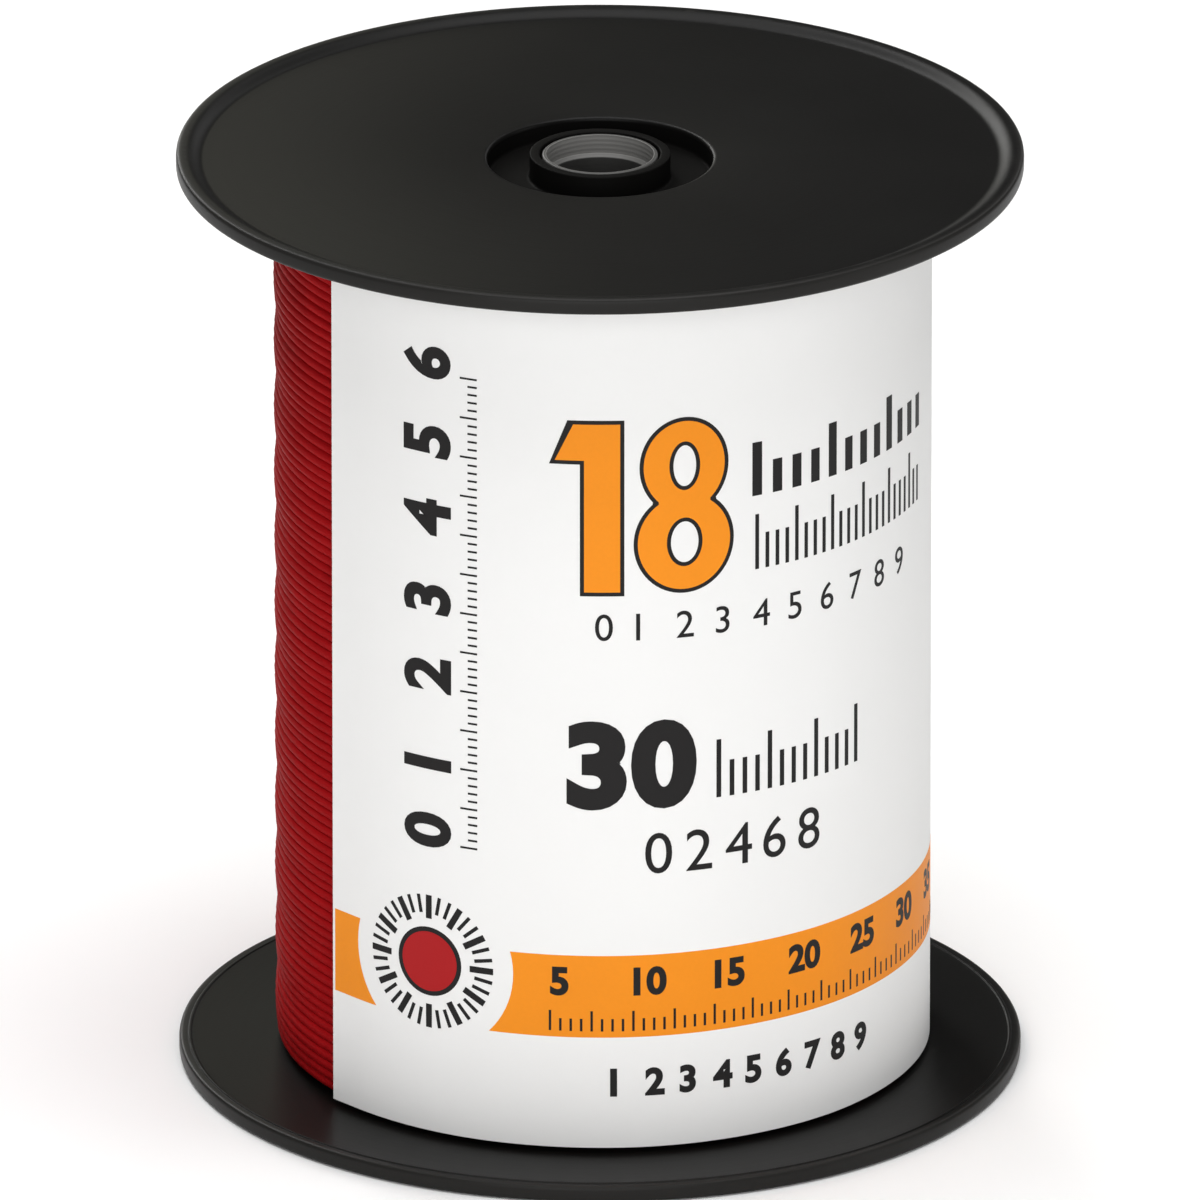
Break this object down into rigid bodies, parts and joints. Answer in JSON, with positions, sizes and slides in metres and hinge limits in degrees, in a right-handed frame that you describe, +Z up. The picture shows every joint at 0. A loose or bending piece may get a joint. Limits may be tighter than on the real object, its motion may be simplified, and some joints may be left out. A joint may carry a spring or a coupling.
{
  "type": "spool of electrical building wire",
  "caption": "Coil of red insulated building wire on a black moulded spool with a central bore, wrapped in a printed paper label, standing on end.",
  "frame": {"origin": "middle of the rim that the spool stands on, at the bottom of the object", "axes": "+Z up along the spool's axis; -Y faces the front of the label; +X is to the right of the front"},
  "size_m": [0.1016, 0.1016, 0.1154],
  "materials": {
    "black_plastic": "moulded black, satin to soft gloss",
    "tube_plastic": "moulded black, satin",
    "grey_plastic": "extruded grey, satin",
    "red_insulation": "red insulation, satin",
    "label_paper": "white coated paper with orange and black print"
  },
  "bodies": {
    "root": {"lower_flange": "black_plastic", "upper_flange": "black_plastic", "barrel_tube": "tube_plastic", "bore_sleeve": "grey_plastic", "wire_winding": "red_insulation", "label": "label_paper"}
  },
  "joints": []
}
